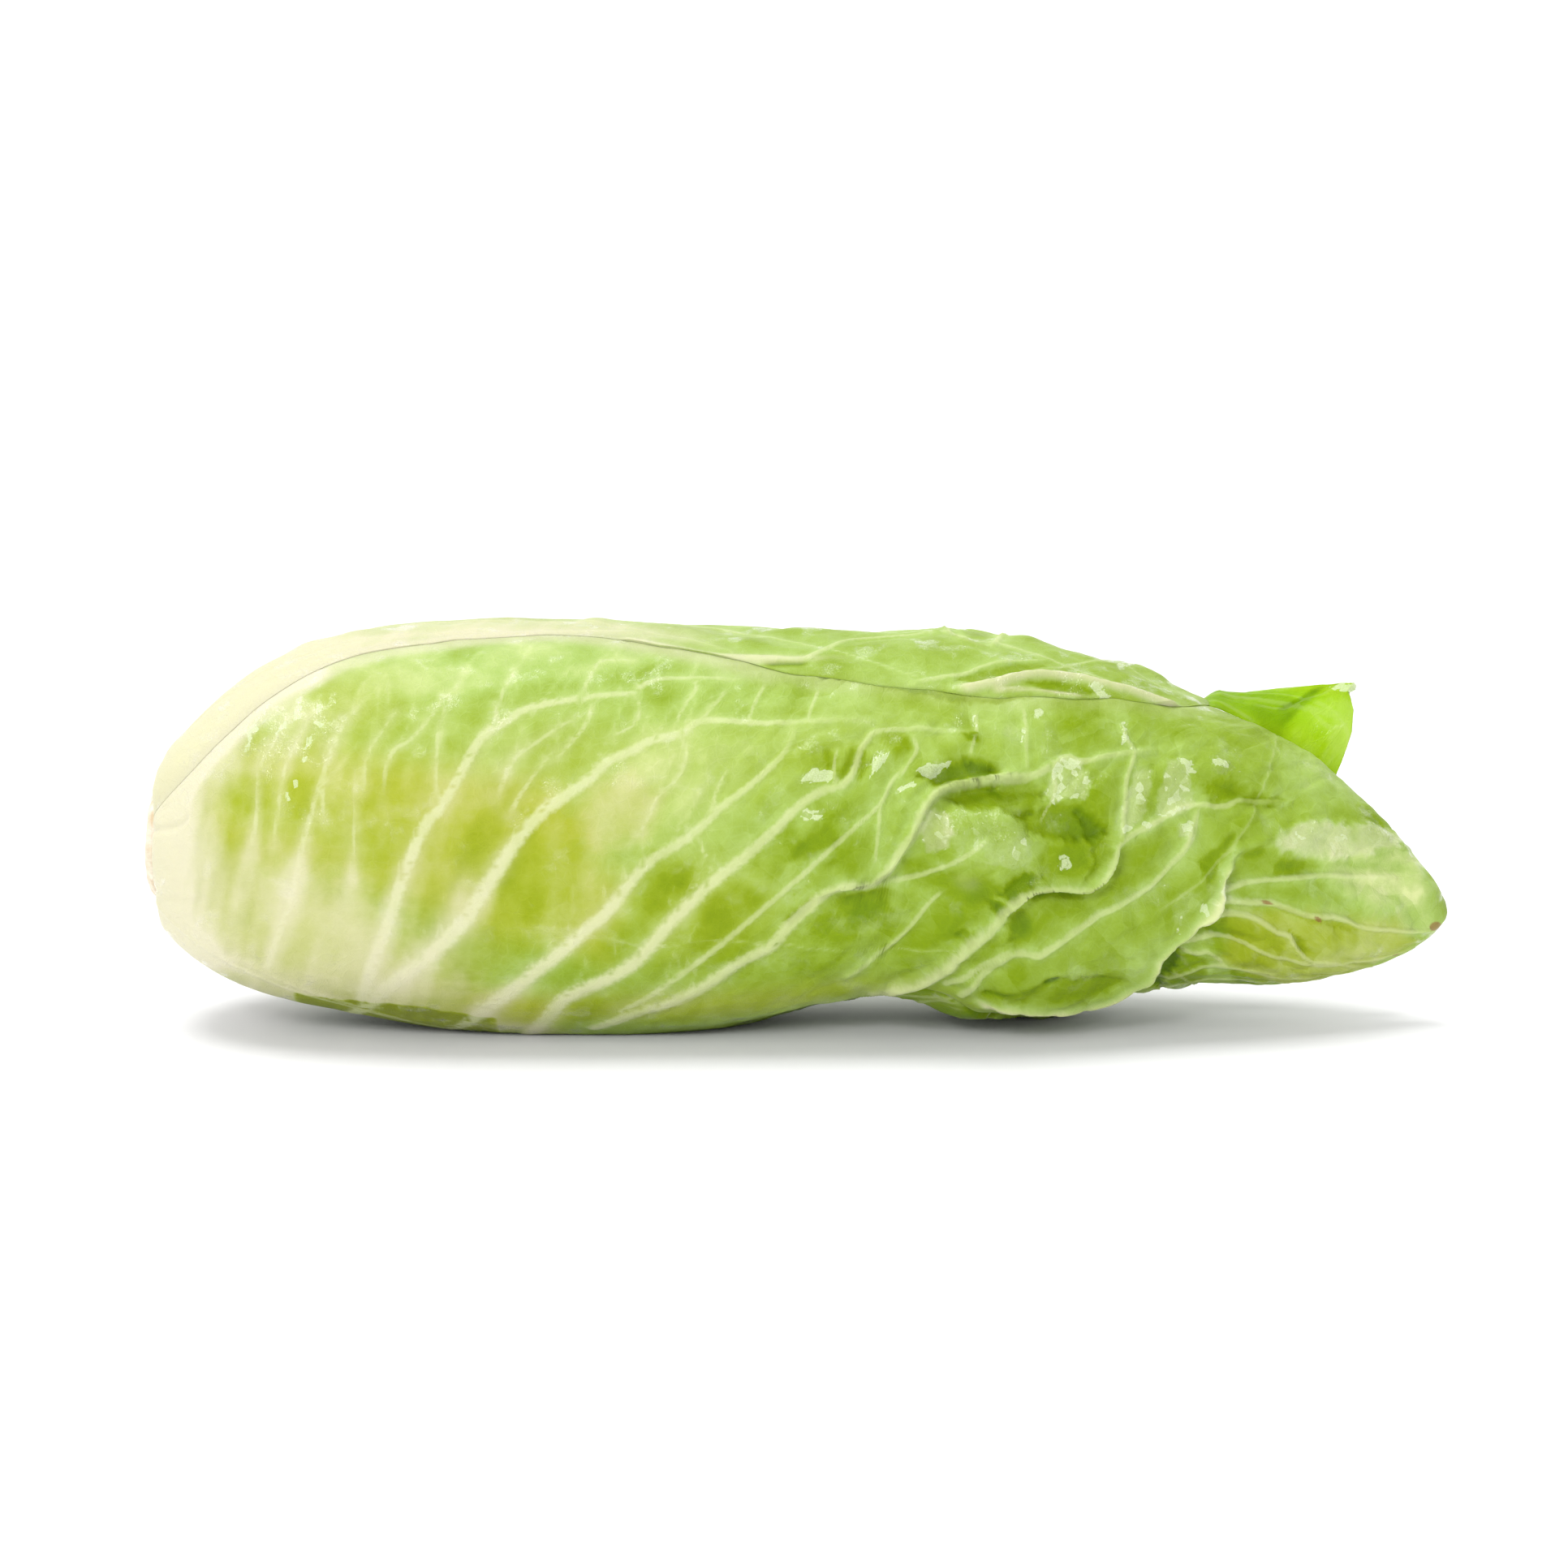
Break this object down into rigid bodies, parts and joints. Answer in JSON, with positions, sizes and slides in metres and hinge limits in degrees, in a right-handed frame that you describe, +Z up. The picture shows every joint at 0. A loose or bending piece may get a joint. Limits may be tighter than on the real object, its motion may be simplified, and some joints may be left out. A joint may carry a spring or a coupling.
{
  "type": "sugarloaf chicory",
  "caption": "Harvested sugarloaf chicory head lying on its side, with overlapping wrapper leaves, inner and heart leaves and a cut stem.",
  "frame": {"origin": "centre of the bounding box in plan, at the height of the surface that the head rests on", "axes": "+X from the cut stem towards the leaf tips, +Z up, -Y the side that the front wrapper leaf covers"},
  "size_m": [0.32, 0.0979, 0.0994],
  "materials": {
    "outer_leaf": "fresh, moist leaf with pale raised veins, yellow-green to cream towards the base",
    "inner_leaf": "pale green leaf, moist, with pale veins",
    "heart_leaf": "pale yellow heart leaf, moist",
    "stem": "cut stem tissue, cream, lightly browned at the rim"
  },
  "bodies": {
    "root": {"cut_stem": "stem", "top_wrapper_leaf": "outer_leaf", "front_wrapper_leaf": "outer_leaf", "back_wrapper_leaf": "outer_leaf", "raised_tip_leaf": "outer_leaf", "lower_wrapper_leaf": "outer_leaf", "inner_leaf_1": "inner_leaf", "inner_leaf_2": "inner_leaf", "inner_leaf_3": "inner_leaf", "inner_leaf_4": "inner_leaf", "inner_leaf_5": "inner_leaf", "inner_leaf_6": "inner_leaf", "heart_leaf_1": "heart_leaf", "heart_leaf_2": "heart_leaf", "heart_leaf_3": "heart_leaf", "heart_leaf_4": "heart_leaf", "heart_leaf_5": "heart_leaf", "heart_leaf_6": "heart_leaf", "heart_leaf_7": "heart_leaf"}
  },
  "joints": []
}
